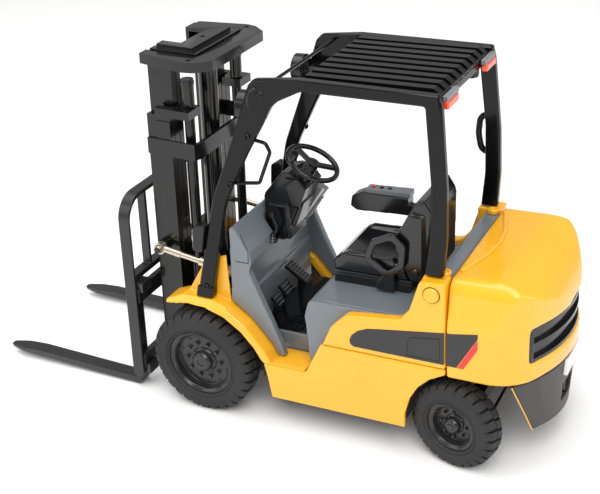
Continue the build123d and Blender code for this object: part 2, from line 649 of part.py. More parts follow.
# ---- steering wheel ----------------------------------------------------------
def steering_wheel():
    """Rim, three spokes, hub and spinner knob."""
    ring = Torus(STEERING_RADIUS, 0.62)
    hub = Pos(0, 0, -0.4) * Cylinder(1.6, 1.6)
    wheel = ring + hub
    for angle in (100, 220, 340):
        spoke = Rot(0, 0, angle) * (Pos(STEERING_RADIUS / 2 + 0.5, 0, -0.2) * Box(STEERING_RADIUS - 1.0, 1.3, 0.7))
        wheel += spoke
    knob_angle = radians(55)
    knob_x = STEERING_RADIUS * cos(knob_angle)
    knob_y = STEERING_RADIUS * sin(knob_angle)
    wheel += Pos(knob_x, knob_y, 0.9) * Cylinder(0.35, 1.4)
    wheel += Pos(knob_x, knob_y, 2.1) * Cylinder(0.95, 1.5)
    wheel -= Pos(0, 0, -0.7) * Cylinder(0.6 + RUNNING, 2.4)
    place = Pos(*STEERING_CENTRE) * Rot(0, -STEERING_TILT, 0)
    save("steering_wheel", place * wheel)


# ---- mast --------------------------------------------------------------------
def rail(y_in, y_out, z0, z1):
    """Channel with its web outside and flanges turned in."""
    web = block(RAIL_REAR_X, RAIL_FRONT_X, y_out - 0.8, y_out, z0, z1)
    rear = block(RAIL_REAR_X, RAIL_REAR_X + FLANGE, y_in, y_out, z0, z1)
    front = block(RAIL_FRONT_X - FLANGE, RAIL_FRONT_X, y_in, y_out, z0, z1)
    return web + rear + front


def pair(shape):
    """A piece and its mirror image."""
    return shape + mirrored(shape)


YOKE_OUTLINE = [(26.2, 13.4), (14.0, 15.5), (11.6, 15.0), (8.0, 12.0), (8.0, -12.0), (11.6, -15.0), (14.0, -15.5),
                (26.2, -13.4)]
LIFT_CYLINDER_X = 15.4
LIFT_CYLINDER_Y = 11.2


def mast_outer():
    """Fixed stage: two channels, cross members, axle brackets and tilt pins."""
    side = rail(12.15, 13.9, 3.0, OUTER_TOP_Z)
    side += block(RAIL_REAR_X, RAIL_REAR_X + 3.6, 13.8, 14.15, 66.7, 71.2)
    side += block(12.6, RAIL_FRONT_X, 13.9, 14.5, 62.9, 66.8)
    hanger = y_cylinder(FRONT_AXLE_X, DRIVE_RADIUS, 3.3, 12.5, 13.7)
    hanger += side_plate([(10.0, 10.1), (10.0, 16.7), (19.2, 24.0), (19.2, 5.0)], 12.5, 13.7)
    hanger -= y_cylinder(FRONT_AXLE_X, DRIVE_RADIUS, 2.2 + RUNNING, 10, 15)
    side += hanger
    pin_x, pin_z = upright(*TILT_PIN)
    side += y_cylinder(pin_x, pin_z, 1.5, 13.8, 15.2)
    side += y_cylinder(pin_x, pin_z, TILT_PIN_RADIUS, 13.8, 18.0)
    stage = pair(side)
    # the rear cross member bows back to clear the lift cylinders
    bow = [(12.6, 14.5), (11.9, 12.6), (11.9, -12.6), (12.6, -14.5), (13.4, -14.5), (12.8, -12.6), (12.8, 12.6),
           (13.4, 14.5)]
    stage += plan_plate(bow, 62.9, 66.8)
    stage += block(15.6, 16.8, -13.6, 13.6, 3.4, 8.4)
    stage += pair(block(15.6, RAIL_REAR_X + 0.2, 12.2, 13.6, 3.4, 8.4))
    return stage


def lift_cylinders():
    """Side lift cylinders with their gland caps and the clamps that hold them."""
    x = LIFT_CYLINDER_X
    y = LIFT_CYLINDER_Y
    barrel = Pos(x, y, 42.0) * Cylinder(1.2, 66.8)
    barrel += Pos(x, y, 78.0) * Cylinder(1.45, 6.6)
    barrel += Pos(x, y, 80.4) * Cylinder(1.6, 0.8)
    barrel += block(13.4, 18.6, 9.4, 13.0, 72.6, 74.6) + block(13.4, 22.4, 13.0, 14.9, 72.6, 74.6)
    return [barrel, mirrored(barrel)]


def mast_middle():
    """Second stage: channels nested beside the first, topped by the wide yoke."""
    side = rail(10.2, 12.0, 3.5, 85.8)
    side += block(20.0, 24.2, 11.9, 12.95, 3.5, 26.0)
    stage = pair(side)
    stage += block(17.8, 18.8, -11.8, 11.8, 3.5, 7.6) + pair(block(17.8, 19.4, 10.4, 12.0, 3.5, 7.6))
    yoke = YOKE_OUTLINE + [(26.2, -10.5), (12.8, -10.5), (12.8, 10.5), (26.2, 10.5)]
    lip = YOKE_OUTLINE + [(26.2, -12.6), (13.8, -14.7), (11.9, -14.2), (8.8, -11.6), (8.8, 11.6), (11.9, 14.2),
                          (13.8, 14.7), (26.2, 12.6)]
    stage += plan_plate(yoke, 85.6, 86.6)
    stage += plan_plate(lip, 84.2, 85.8)
    for side_sign in (-1, 1):
        stage -= Pos(13.2, side_sign * 13.6, 86.4) * Cylinder(0.6, 1.4)
    return stage


def mast_inner():
    """Third stage: innermost channels, nested yoke and the raised chain plate."""
    side = rail(8.2, 10.0, 9.2, 86.0)
    side += block(20.0, 24.2, 9.9, 11.05, 9.2, 30.0)
    stage = pair(side)
    stage += block(RAIL_REAR_X, RAIL_REAR_X + FLANGE, -9.9, 9.9, 9.2, 13.0)
    yoke = [(25.4, 10.2), (13.2, 10.2), (13.2, -10.2), (25.4, -10.2), (25.4, -8.0), (16.0, -8.0), (16.0, 8.0),
            (25.4, 8.0)]
    stage += plan_plate(yoke, 85.9, 86.9)
    plate = [(24.4, 8.9), (15.0, 8.9), (15.0, -8.9), (24.8, -8.9), (24.8, -4.6), (19.4, -4.6), (19.4, 6.2),
             (24.4, 6.2)]
    stage += plan_plate(plate, 86.8, 87.7)
    stage += block(23.9, 24.8, -8.9, -4.6, 84.2, 87.7)
    stage -= Pos(17.3, 0, 87.5) * Cylinder(0.55, 1.0)
    return stage


def mast():
    """The three mast stages and their cylinders, leaned back together."""
    save("mast_outer", lean(mast_outer()))
    save("lift_cylinders", *[lean(piece) for piece in lift_cylinders()])
    save("mast_middle", lean(mast_middle()))
    save("mast_inner", lean(mast_inner()))
    column = Pos(16.6, 0, 48.1) * Cylinder(2.3, 75.6)
    save("free_lift_cylinder", lean(column))


# ---- carriage, backrest and forks ----------------------------------------------
def carriage():
    """Two bars on side plates whose guide blocks run in the inner channels."""
    frame = block(28.4, 30.0, -19.25, 19.25, 24.0, 28.0)
    frame += block(28.4, 30.0, -19.25, 19.25, 5.0, 9.0)
    side = block(21.0, 28.6, 6.3, 7.5, 6.4, 26.8)
    for low in (5.0, 22.0):
        side += block(20.1, 24.1, 7.3, 9.05, low, low + 5.0)
    frame += pair(side)
    return frame


def load_backrest():
    """Tall guard behind the load: rounded outer frame, four upright bars."""
    half = BACKREST_HALF_WIDTH
    outer = front_plate([(-half, 2.6), (half, 2.6), (half, 52.2), (-half, 52.2)], 28.9, 31.9,
                        {(half, 52.2): 6.0, (-half, 52.2): 6.0})
    hole = front_plate([(-half + 0.7, 0), (half - 0.7, 0), (half - 0.7, 51.2), (-half + 0.7, 51.2)], 28.0, 33.0,
                       {(half - 0.7, 51.2): 5.2, (-half + 0.7, 51.2): 5.2})
    frame = outer - hole
    frame += block(28.9, 31.4, -half + 0.6, half - 0.6, 30.2, 31.6)
    for y in (-11.7, -3.9, 3.9, 11.7):
        frame += block(29.2, 31.4, y - 0.45, y + 0.45, 31.4, 51.5)
    for y in (-2.4, 2.4):
        frame += block(28.5, 30.0, y - 1.2, y + 1.2, 28.0, 31.0)
    return frame


def fork(side):
    """Blade and shank with a hook over the top bar and one under the bottom bar."""
    y0 = FORK_Y - FORK_WIDTH / 2
    y1 = FORK_Y + FORK_WIDTH / 2
    low = FORK_BOTTOM_Z
    shank_x = FORK_FACE_X - FORK_THICK
    outline = [(shank_x, low), (TIP_X - 0.6, low), (TIP_X, low + 0.5), (TIP_X, low + 0.8), (TIP_X - 10, low + FORK_THICK),
               (FORK_FACE_X, low + FORK_THICK), (FORK_FACE_X, 29.6), (27.3, 29.6), (27.3, 27.0), (28.25, 27.0),
               (28.25, 28.15), (shank_x, 28.15), (shank_x, 4.85), (28.25, 4.85), (28.25, 6.2), (27.3, 6.2),
               (27.3, 3.4), (shank_x, 3.4)]
    blade = side_plate(outline, y0, y1, {(shank_x, low): 1.2})
    taper = plan_plate([(TIP_X - 4.5, y0 - 1), (TIP_X - 4.5, y0), (TIP_X - 0.7, y0 + 0.9), (TIP_X + 1, y0 + 1.9),
                        (TIP_X + 1, y0 - 1)], low - 1, low + 3)
    taper_out = plan_plate([(TIP_X - 4.5, y1 + 1), (TIP_X - 4.5, y1), (TIP_X - 0.7, y1 - 0.9), (TIP_X + 1, y1 - 1.9),
                            (TIP_X + 1, y1 + 1)], low - 1, low + 3)
    blade = blade - taper - taper_out
    return blade if side > 0 else mirrored(blade)


def load_end():
    """Everything that rises with the carriage."""
    save("carriage", lean(carriage()))
    save("load_backrest", lean(load_backrest()))
    save("fork_left", lean(fork(1)))
    save("fork_right", lean(fork(-1)))


# ---- tilt cylinders ------------------------------------------------------------
def tilt_cylinder():
    """Barrel and rod, built along X from the barrel's pivot."""
    length = hypot(TILT_PIN[0] - TILT_PIVOT[0], TILT_PIN[1] - TILT_PIVOT[1])
    barrel = y_cylinder(0, 0, 1.15, -0.75, 0.75) + rod((0.8, 0, 0), (7.8, 0, 0), 1.2)
    barrel -= y_cylinder(0, 0, 0.6 + RUNNING, -2, 2)
    barrel -= rod((1.8, 0, 0), (8.0, 0, 0), ROD_RADIUS + RUNNING)
    shaft = rod((4.0, 0, 0), (length - 1.0, 0, 0), ROD_RADIUS)
    shaft += rod((13.2, 0, 0), (length - 1.0, 0, 0), 0.9)
    shaft += y_cylinder(length, 0, 1.45, -0.8, 0.8)
    shaft -= y_cylinder(length, 0, TILT_PIN_RADIUS + TILT_PIN_CLEARANCE, -2, 2)
    return barrel, shaft


def tilt_cylinders():
    """A tilt cylinder each side of the mast."""
    rise = degrees(atan2(TILT_PIN[1] - TILT_PIVOT[1], TILT_PIN[0] - TILT_PIVOT[0]))
    barrel, shaft = tilt_cylinder()
    for side, word in ((1, "left"), (-1, "right")):
        place = Pos(TILT_PIVOT[0], side * TILT_Y, TILT_PIVOT[1]) * Rot(0, -rise, 0)
        save("tilt_barrel_%s" % word, place * barrel)
        save("tilt_rod_%s" % word, place * shaft)


def main():
    """Writes every node."""
    wheels()
    front_axle()
    steering_gear()
    body()
    front_end()
    seat()
    guard()
    steering_wheel()
    mast()
    load_end()
    tilt_cylinders()


main()
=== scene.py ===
"""Looks for the toy forklift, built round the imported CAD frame. Metres, +X forward, +Z up."""
import json
import math

import bmesh
import bpy
from mathutils import Matrix, Vector


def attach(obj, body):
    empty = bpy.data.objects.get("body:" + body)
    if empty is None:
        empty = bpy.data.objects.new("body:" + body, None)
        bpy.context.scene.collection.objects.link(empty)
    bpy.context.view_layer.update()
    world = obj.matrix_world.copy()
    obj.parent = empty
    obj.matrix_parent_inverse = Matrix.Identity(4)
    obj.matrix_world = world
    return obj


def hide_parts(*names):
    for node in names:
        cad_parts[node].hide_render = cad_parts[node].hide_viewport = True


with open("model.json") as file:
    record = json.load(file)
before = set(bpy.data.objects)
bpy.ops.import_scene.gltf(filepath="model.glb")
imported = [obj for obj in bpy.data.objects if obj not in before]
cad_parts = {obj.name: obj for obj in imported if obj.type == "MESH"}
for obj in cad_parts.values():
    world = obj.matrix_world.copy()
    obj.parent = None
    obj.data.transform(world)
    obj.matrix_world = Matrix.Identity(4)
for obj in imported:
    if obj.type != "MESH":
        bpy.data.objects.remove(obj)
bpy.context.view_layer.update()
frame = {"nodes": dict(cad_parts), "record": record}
NODES = frame["nodes"]
MM = 0.001
ROUGHNESS_SPAN = 0.06
ROUNDED_ANGLE = math.radians(28)
CAD_WELD = 0.000004
SHELL_WELD_MM = 0.003


# ---- materials ---------------------------------------------------------------
def material(name, base, roughness, metallic=0.0, coat=0.0, coat_roughness=0.1, grain=0.0,
             grain_scale=3000.0, mottle=0.03, mottle_scale=60.0, specular=0.5):
    """Procedural surface: mottled colour, uneven roughness and fine grain."""
    made = bpy.data.materials.new(name)
    made.use_nodes = True
    tree = made.node_tree
    shader = tree.nodes["Principled BSDF"]
    shader.inputs["Metallic"].default_value = metallic
    shader.inputs["Coat Weight"].default_value = coat
    shader.inputs["Coat Roughness"].default_value = coat_roughness
    shader.inputs["Specular IOR Level"].default_value = specular
    place = tree.nodes.new("ShaderNodeTexCoord")
    cloud = tree.nodes.new("ShaderNodeTexNoise")
    cloud.inputs["Scale"].default_value = mottle_scale
    cloud.inputs["Detail"].default_value = 5.0
    tree.links.new(place.outputs["Object"], cloud.inputs["Vector"])
    ramp = tree.nodes.new("ShaderNodeValToRGB")
    dark = [channel * (1 - mottle) for channel in base]
    light = [min(1.0, channel * (1 + mottle)) for channel in base]
    ramp.color_ramp.elements[0].position = 0.35
    ramp.color_ramp.elements[0].color = dark + [1]
    ramp.color_ramp.elements[1].position = 0.65
    ramp.color_ramp.elements[1].color = light + [1]
    tree.links.new(cloud.outputs["Fac"], ramp.inputs["Fac"])
    tree.links.new(ramp.outputs["Color"], shader.inputs["Base Color"])
    spread = tree.nodes.new("ShaderNodeMapRange")
    spread.inputs["To Min"].default_value = max(0.02, roughness - ROUGHNESS_SPAN)
    spread.inputs["To Max"].default_value = min(1.0, roughness + ROUGHNESS_SPAN)
    smudge = tree.nodes.new("ShaderNodeTexNoise")
    smudge.inputs["Scale"].default_value = mottle_scale * 5
    smudge.inputs["Detail"].default_value = 6.0
    tree.links.new(place.outputs["Object"], smudge.inputs["Vector"])
    tree.links.new(smudge.outputs["Fac"], spread.inputs["Value"])
    tree.links.new(spread.outputs["Result"], shader.inputs["Roughness"])
    if grain > 0:
        speck = tree.nodes.new("ShaderNodeTexNoise")
        speck.inputs["Scale"].default_value = grain_scale
        speck.inputs["Detail"].default_value = 3.0
        tree.links.new(place.outputs["Object"], speck.inputs["Vector"])
        bump = tree.nodes.new("ShaderNodeBump")
        bump.inputs["Strength"].default_value = grain
        bump.inputs["Distance"].default_value = 0.0001
        tree.links.new(speck.outputs["Fac"], bump.inputs["Height"])
        tree.links.new(bump.outputs["Normal"], shader.inputs["Normal"])
    return made


MATERIALS = {
    "body_yellow": material("body_yellow", (0.90, 0.43, 0.014), 0.28, coat=0.5, coat_roughness=0.08,
                            grain=0.04, grain_scale=900, mottle=0.02),
    "cab_grey": material("cab_grey", (0.15, 0.172, 0.19), 0.3, coat=0.35, coat_roughness=0.1, grain=0.05,
                         grain_scale=1200),
    "guard_black": material("guard_black", (0.0035, 0.0035, 0.004), 0.18, coat=0.2, coat_roughness=0.05,
                            grain=0.04, grain_scale=900, mottle=0.2, specular=0.16),
    "trim_black": material("trim_black", (0.005, 0.005, 0.006), 0.22, coat=0.3, coat_roughness=0.08,
                           grain=0.06, mottle=0.2, specular=0.3),
    "console_grey": material("console_grey", (0.16, 0.175, 0.19), 0.4, coat=0.2, grain=0.12, mottle=0.05),
    "seat_black": material("seat_black", (0.006, 0.006, 0.007), 0.2, coat=0.4, coat_roughness=0.1, grain=0.12,
                           grain_scale=1800, mottle=0.2, specular=0.4),
    "bumper_brown": material("bumper_brown", (0.045, 0.042, 0.041), 0.45, grain=0.15, mottle=0.1,
                             specular=0.4),
    "mast_black": material("mast_black", (0.005, 0.005, 0.005), 0.2, coat=0.3, coat_roughness=0.06,
                           grain=0.04, grain_scale=900, mottle=0.2, specular=0.3),
    "fork_grey": material("fork_grey", (0.014, 0.014, 0.0145), 0.3, coat=0.2, grain=0.1, grain_scale=1500,
                          mottle=0.15, specular=0.4),
    "tyre_rubber": material("tyre_rubber", (0.022, 0.022, 0.023), 0.6, grain=0.3, grain_scale=3500,
                            mottle=0.18, specular=0.3),
    "rim_black": material("rim_black", (0.014, 0.014, 0.015), 0.28, coat=0.2, grain=0.08, mottle=0.2,
                          specular=0.4),
    "tilt_metal": material("tilt_metal", (0.66, 0.58, 0.46), 0.25, metallic=0.9, grain=0.1, mottle=0.08),
    "lamp_clear": material("lamp_clear", (0.6, 0.62, 0.64), 0.15, metallic=0.4, coat=0.8, mottle=0.1),
    "lamp_red": material("lamp_red", (0.85, 0.07, 0.015), 0.22, coat=0.6, mottle=0.08),
    "plate_white": material("plate_white", (0.8, 0.8, 0.78), 0.35, coat=0.3, mottle=0.02),
    "plate_dark": material("plate_dark", (0.022, 0.022, 0.023), 0.3, coat=0.2, mottle=0.1, specular=0.35),
    "stripe_red": material("stripe_red", (0.68, 0.02, 0.015), 0.3, coat=0.3, mottle=0.05),
    "button_red": material("button_red", (0.65, 0.03, 0.02), 0.3, coat=0.4, mottle=0.05),
    "seam_shadow": material("seam_shadow", (0.10, 0.05, 0.01), 0.7, mottle=0.1, specular=0.1),
    "seam_grey": material("seam_grey", (0.03, 0.035, 0.04), 0.7, mottle=0.1, specular=0.1),
    "pedal_rubber": material("pedal_rubber", (0.09, 0.095, 0.10), 0.5, grain=0.2, mottle=0.1),
}
SLOT_OF = {entry["node"]: entry["material_slot"] for entry in frame["record"]["subparts"]}
BODY_OF = {node: body for body, members in frame["record"]["behaviour"]["bodies"].items() for node in members}


def finish_cad_nodes():
    """Gives every CAD node the material of its slot."""
    for name, node in NODES.items():
        node.data.materials.clear()
        node.data.materials.append(MATERIALS[SLOT_OF[name]])


def rounded(node, width):
    """Stands in for a CAD node with the same piece, its sharp edges rounded off."""
    source = NODES[node]
    mesh = source.data.copy()
    piece = bpy.data.objects.new(node + "_rounded", mesh)
    bpy.context.scene.collection.objects.link(piece)
    work = bmesh.new()
    work.from_mesh(mesh)
    bmesh.ops.remove_doubles(work, verts=work.verts, dist=CAD_WELD)
    bmesh.ops.dissolve_limit(work, angle_limit=math.radians(1.0), verts=work.verts, edges=work.edges)
    for face in work.faces:
        face.smooth = True
    for edge in work.edges:
        edge.smooth = len(edge.link_faces) == 2 and edge.calc_face_angle(0) < ROUNDED_ANGLE
    work.to_mesh(mesh)
    work.free()
    bevel = piece.modifiers.new("edges", "BEVEL")
    bevel.width = width * MM
    bevel.segments = 2
    bevel.limit_method = "ANGLE"
    bevel.angle_limit = ROUNDED_ANGLE
    bevel.use_clamp_overlap = True
    bevel.harden_normals = False
    bevel.miter_outer = "MITER_ARC"
    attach(piece, BODY_OF[node])
    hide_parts(node)
    return piece


finish_cad_nodes()


# ---- mesh helpers (millimetres, frame axes) ------------------------------------
def new_piece(name, verts, faces, look, body, slot, bevel=0.0, crease_angle=40):
    """Mesh object from millimetre points, riding on a body."""
    mesh = bpy.data.meshes.new(name)
    mesh.from_pydata([[value * MM for value in point] for point in verts], [], faces)
    work = bmesh.new()
    work.from_mesh(mesh)
    bmesh.ops.recalc_face_normals(work, faces=work.faces)
    for face in work.faces:
        face.smooth = True
    for edge in work.edges:
        edge.smooth = len(edge.link_faces) == 2 and edge.calc_face_angle(0) < math.radians(crease_angle)
    work.to_mesh(mesh)
    work.free()
    piece = bpy.data.objects.new(name, mesh)
    bpy.context.scene.collection.objects.link(piece)
    mesh.materials.append(MATERIALS[look])
    if bevel:
        soften = piece.modifiers.new("edges", "BEVEL")
        soften.width = bevel * MM
        soften.segments = 2
        soften.limit_method = "ANGLE"
        soften.angle_limit = math.radians(30)
    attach(piece, body)
    return piece


def prism(outline, near, far, plane="xz"):
    """Closed shell: an outline in the named plane, carried from near to far along the third axis."""
    order = {"xz": (0, 2, 1), "xy": (0, 1, 2), "yz": (1, 2, 0)}[plane]
    verts = []
    for depth in (near, far):
        for first, second in outline:
            point = [0.0, 0.0, 0.0]
            point[order[0]], point[order[1]], point[order[2]] = first, second, depth
            verts.append(point)
    count = len(outline)
    faces = [tuple(range(count)), tuple(range(2 * count - 1, count - 1, -1))]
    for index in range(count):
        after = (index + 1) % count
        faces.append((index, after, count + after, count + index))
    return verts, faces


def slab(name, outline, near, far, plane, look, body, slot, bevel):
    """Flat plate with softened edges."""
    verts, faces = prism(outline, near, far, plane)
    return new_piece(name, verts, faces, look, body, slot, bevel=bevel)


def turned(name, profile, centre, axis, look, body, slot, steps):
    """Lathe: (radius, height) pairs turned about an axis through centre."""
    turn = Vector(axis).normalized().to_track_quat("Z", "Y").to_matrix()
    verts = []
    for step in range(steps):
        angle = 2 * math.pi * step / steps
        for radius, height in profile:
            local = Vector((radius * math.cos(angle), radius * math.sin(angle), height))
            verts.append(Vector(centre) + turn @ local)
    count = len(profile)
    faces = []
    for step in range(steps):
        after = (step + 1) % steps
        for index in range(count - 1):
            faces.append((step * count + index, after * count + index, after * count + index + 1,
                          step * count + index + 1))
    faces.append(tuple(step * count for step in range(steps)))
    faces.append(tuple(step * count + count - 1 for step in reversed(range(steps))))
    return new_piece(name, verts, faces, look, body, slot, crease_angle=35)


def bent_tube(name, points, radius, look, body):
    """Round bar along a smooth line through the given points."""
    curve = bpy.data.curves.new(name, "CURVE")
    curve.dimensions = "3D"
    curve.bevel_depth = radius * MM
    curve.bevel_resolution = 3
    curve.use_fill_caps = True
    line = curve.splines.new("BEZIER")
    line.bezier_points.add(len(points) - 1)
    for knot, point in zip(line.bezier_points, points):
        knot.co = Vector(point) * MM
        knot.handle_left_type = knot.handle_right_type = "AUTO"
    source = bpy.data.objects.new(name + "_line", curve)
    bpy.context.scene.collection.objects.link(source)
    mesh = bpy.data.meshes.new_from_object(source.evaluated_get(bpy.context.evaluated_depsgraph_get()))
    bpy.data.objects.remove(source)
    piece = bpy.data.objects.new(name, mesh)
    bpy.context.scene.collection.objects.link(piece)
    for face in mesh.polygons:
        face.use_smooth = True
    mesh.materials.clear()
    mesh.materials.append(MATERIALS[look])
    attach(piece, body)
    return piece


def screw(name, centre, axis, radius):
    """Cap screw with a recess in its head."""
    profile = [(radius * 1.25, -0.05), (radius * 1.25, 0.12), (radius * 1.05, 0.16), (radius, 0.5),
               (radius * 0.85, 0.62), (radius * 0.5, 0.62), (radius * 0.42, 0.35)]
    return turned(name, profile, centre, axis, "guard_black", "truck", "guard_black", steps=24)


def bar(start, end, radius, sides=20):
    """Closed round bar between two points."""
    start, end = Vector(start), Vector(end)
    turn = (end - start).to_track_quat("Z", "Y").to_matrix()
    verts = []
    for centre in (start, end):
        for side in range(sides):
            angle = 2 * math.pi * side / sides
            verts.append(centre + turn @ Vector((radius * math.cos(angle), radius * math.sin(angle), 0)))
    faces = [tuple(range(sides)), tuple(range(2 * sides - 1, sides - 1, -1))]
    faces += [(side, (side + 1) % sides, sides + (side + 1) % sides, sides + side) for side in range(sides)]
    return verts, faces


def raised_line(name, points, radius, look, slot):
    """Thin line standing on the truck's surface, one closed bar for each stretch."""
    for index, (start, end) in enumerate(zip(points, points[1:])):
        new_piece("%s_%d" % (name, index), *bar(start, end, radius, 8), look, "truck", slot)


def cad_shell(node):
    """The shell of a CAD node, in millimetres."""
    source = NODES[node]
    points = [source.matrix_world @ vert.co / MM for vert in source.data.vertices]
    return points, [tuple(face.vertices) for face in source.data.polygons]


def moulded(name, shells, look, body, voxel, rounds, replaced=()):
    """One casting: closed shells grown together, with every edge rounded off."""
    verts, faces = [], []
    for points, sides in shells:
        start = len(verts)
        work = bmesh.new()
        made = [work.verts.new(point) for point in points]
        for side in sides:
            if len(set(side)) > 2:
                try:
                    work.faces.new([made[index] for index in side])
                except ValueError:
                    continue
        bmesh.ops.remove_doubles(work, verts=work.verts, dist=SHELL_WELD_MM)
        bmesh.ops.recalc_face_normals(work, faces=work.faces)
        work.verts.index_update()
        verts.extend(tuple(vert.co) for vert in work.verts)
        faces.extend(tuple(start + vert.index for vert in face.verts) for face in work.faces)
        work.free()
    mesh = bpy.data.meshes.new(name)
    mesh.from_pydata([[value * MM for value in point] for point in verts], [], faces)
    piece = bpy.data.objects.new(name, mesh)
    bpy.context.scene.collection.objects.link(piece)
    mesh.materials.append(MATERIALS[look])
    grown = piece.modifiers.new("grown", "REMESH")
    grown.mode = "VOXEL"
    grown.voxel_size = voxel * MM
    grown.use_smooth_shade = True
    softened = piece.modifiers.new("softened", "SMOOTH")
    softened.factor = 0.5
    softened.iterations = rounds
    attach(piece, body)
    if replaced:
        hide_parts(*replaced)
    return piece


def cast(node, voxel, rounds):
    """Stands in for a CAD node with its own shape cast in one, edges rounded."""
    slot = SLOT_OF[node]
    return moulded(node + "_cast", [cad_shell(node)], slot, BODY_OF[node], voxel, rounds, (node,))


def ring_points(centre, radius, plane_x, plane_y, steps, start, sweep):
    """Points round an arc."""
    made = []
    for step in range(steps + 1):
        angle = math.radians(start + sweep * step / steps)
        reach = math.cos(angle) * Vector(plane_x) + math.sin(angle) * Vector(plane_y)
        made.append(Vector(centre) + radius * reach)
    return made


# ---- tyres ---------------------------------------------------------------------
def tyre(node, body, centre, heading, radius, bore, width, lugs):
    """Industrial tyre: flat-sided carcass, moulded side rings and blocky lugs over the shoulders."""
    half = width / 2
    base = radius - 1.0
    profile = [(bore, -half + 0.55), (bore + 0.25, -half + 0.2), (bore + 0.55, -half + 0.05),
               (bore + 0.8, -half + 0.22), (bore + 1.0, -half + 0.05), (base - 0.9, -half + 0.18),
               (base - 0.35, -half + 0.3), (base, -half + 0.8)]
    profile = profile + [(r, -y) for r, y in reversed(profile)]
    turn = Matrix.Rotation(math.radians(heading), 3, "Z")
    verts, faces = [], []
    count = len(profile)
    steps = lugs * 4

    def place(r, y, angle):
        return Vector(centre) + turn @ Vector((r * math.cos(angle), y, r * math.sin(angle)))

    for step in range(steps):
        angle = 2 * math.pi * step / steps
        verts.extend(place(r, y, angle) for r, y in profile)
    for step in range(steps):
        after = (step + 1) % steps
        for index in range(count):
            ahead = (index + 1) % count
            faces.append((step * count + index, after * count + index, after * count + ahead,
                          step * count + ahead))
    pitch = 2 * math.pi / lugs
    outline = [(base - 1.3, half - 0.2), (base - 1.1, half - 0.12), (radius - 1.5, half - 0.2),
               (radius - 0.4, half - 0.8), (radius, half - 1.5), (radius, 0.22), (radius - 0.12, 0.12),
               (base - 0.4, 0.12)]
    for side in (-1, 1):
        for lug in range(lugs):
            middle = (lug + (0.5 if side > 0 else 0.0)) * pitch
            start = len(verts)
            for across in (-0.39, -0.36, 0.0, 0.36, 0.39):
                sink = 0.1 if abs(across) > 0.37 else 0.0
                for r, y in outline:
                    drift = (half - y) * 0.012 * side
                    top = r - sink if r > base else r
                    verts.append(place(top, side * y, middle + across * pitch + drift))
            size = len(outline)
            for row in range(4):
                low = start + row * size
                for index in range(size):
                    ahead = (index + 1) % size
                    faces.append((low + index, low + ahead, low + size + ahead, low + size + index))
            faces.append(tuple(start + index for index in range(size)))
            faces.append(tuple(start + 4 * size + index for index in reversed(range(size))))
    piece = new_piece(node + "_moulded", verts, faces, "tyre_rubber", body, "tyre_rubber", crease_angle=30)
    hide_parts(node)
    return piece


# sizes in mm, as on the CAD nodes, and the steered angle of the rear wheels at rest in degrees
STEER_AT_REST = -12.85
DRIVE_RADIUS, DRIVE_BORE, DRIVE_WIDTH, DRIVE_LUGS = 13.4, 8.6, 7.6, 30
STEER_RADIUS, STEER_BORE, STEER_WIDTH, STEER_LUGS = 10.6, 6.0, 6.4, 26
DRIVE_CENTRE_Y = 19.3
KINGPIN_TO_WHEEL = 5.7
FRONT_AXLE = Vector((11, 0, 13.4))
KINGPIN = Vector((-54.2, 13.8, 10.6))
STEER_TURN = Matrix.Rotation(math.radians(STEER_AT_REST), 3, "Z")


def hub_cap(name, body, centre, outward, radius, nuts):
    """Domed hub with a ring of hexagonal nuts, on the wheel's outer face."""
    outward = Vector(outward).normalized()
    profile = [(radius, -0.4), (radius, 0.15), (radius - 0.25, 0.4), (radius * 0.62, 0.55),
               (radius * 0.58, 1.0), (radius * 0.45, 1.25), (radius * 0.2, 1.36), (0.02, 1.38)]
    turned(name + "_hub", profile, centre, outward, "rim_black", body, "rim_black", steps=36)
    turn = outward.to_track_quat("Z", "Y").to_matrix()
    shells = []
    for index in range(nuts):
        angle = 2 * math.pi * index / nuts
        arm = Vector((radius * 0.8 * math.cos(angle), radius * 0.8 * math.sin(angle), 0))
        spot = Vector(centre) + turn @ arm
        shells.append(bar(spot, spot + outward * 0.75, radius * 0.11, 6))
    verts, faces = [], []
    for points, sides in shells:
        start = len(verts)
        verts.extend(points)
        faces.extend(tuple(start + index for index in side) for side in sides)
    new_piece(name + "_nuts", verts, faces, "rim_black", body, "rim_black", bevel=0.04, crease_angle=20)


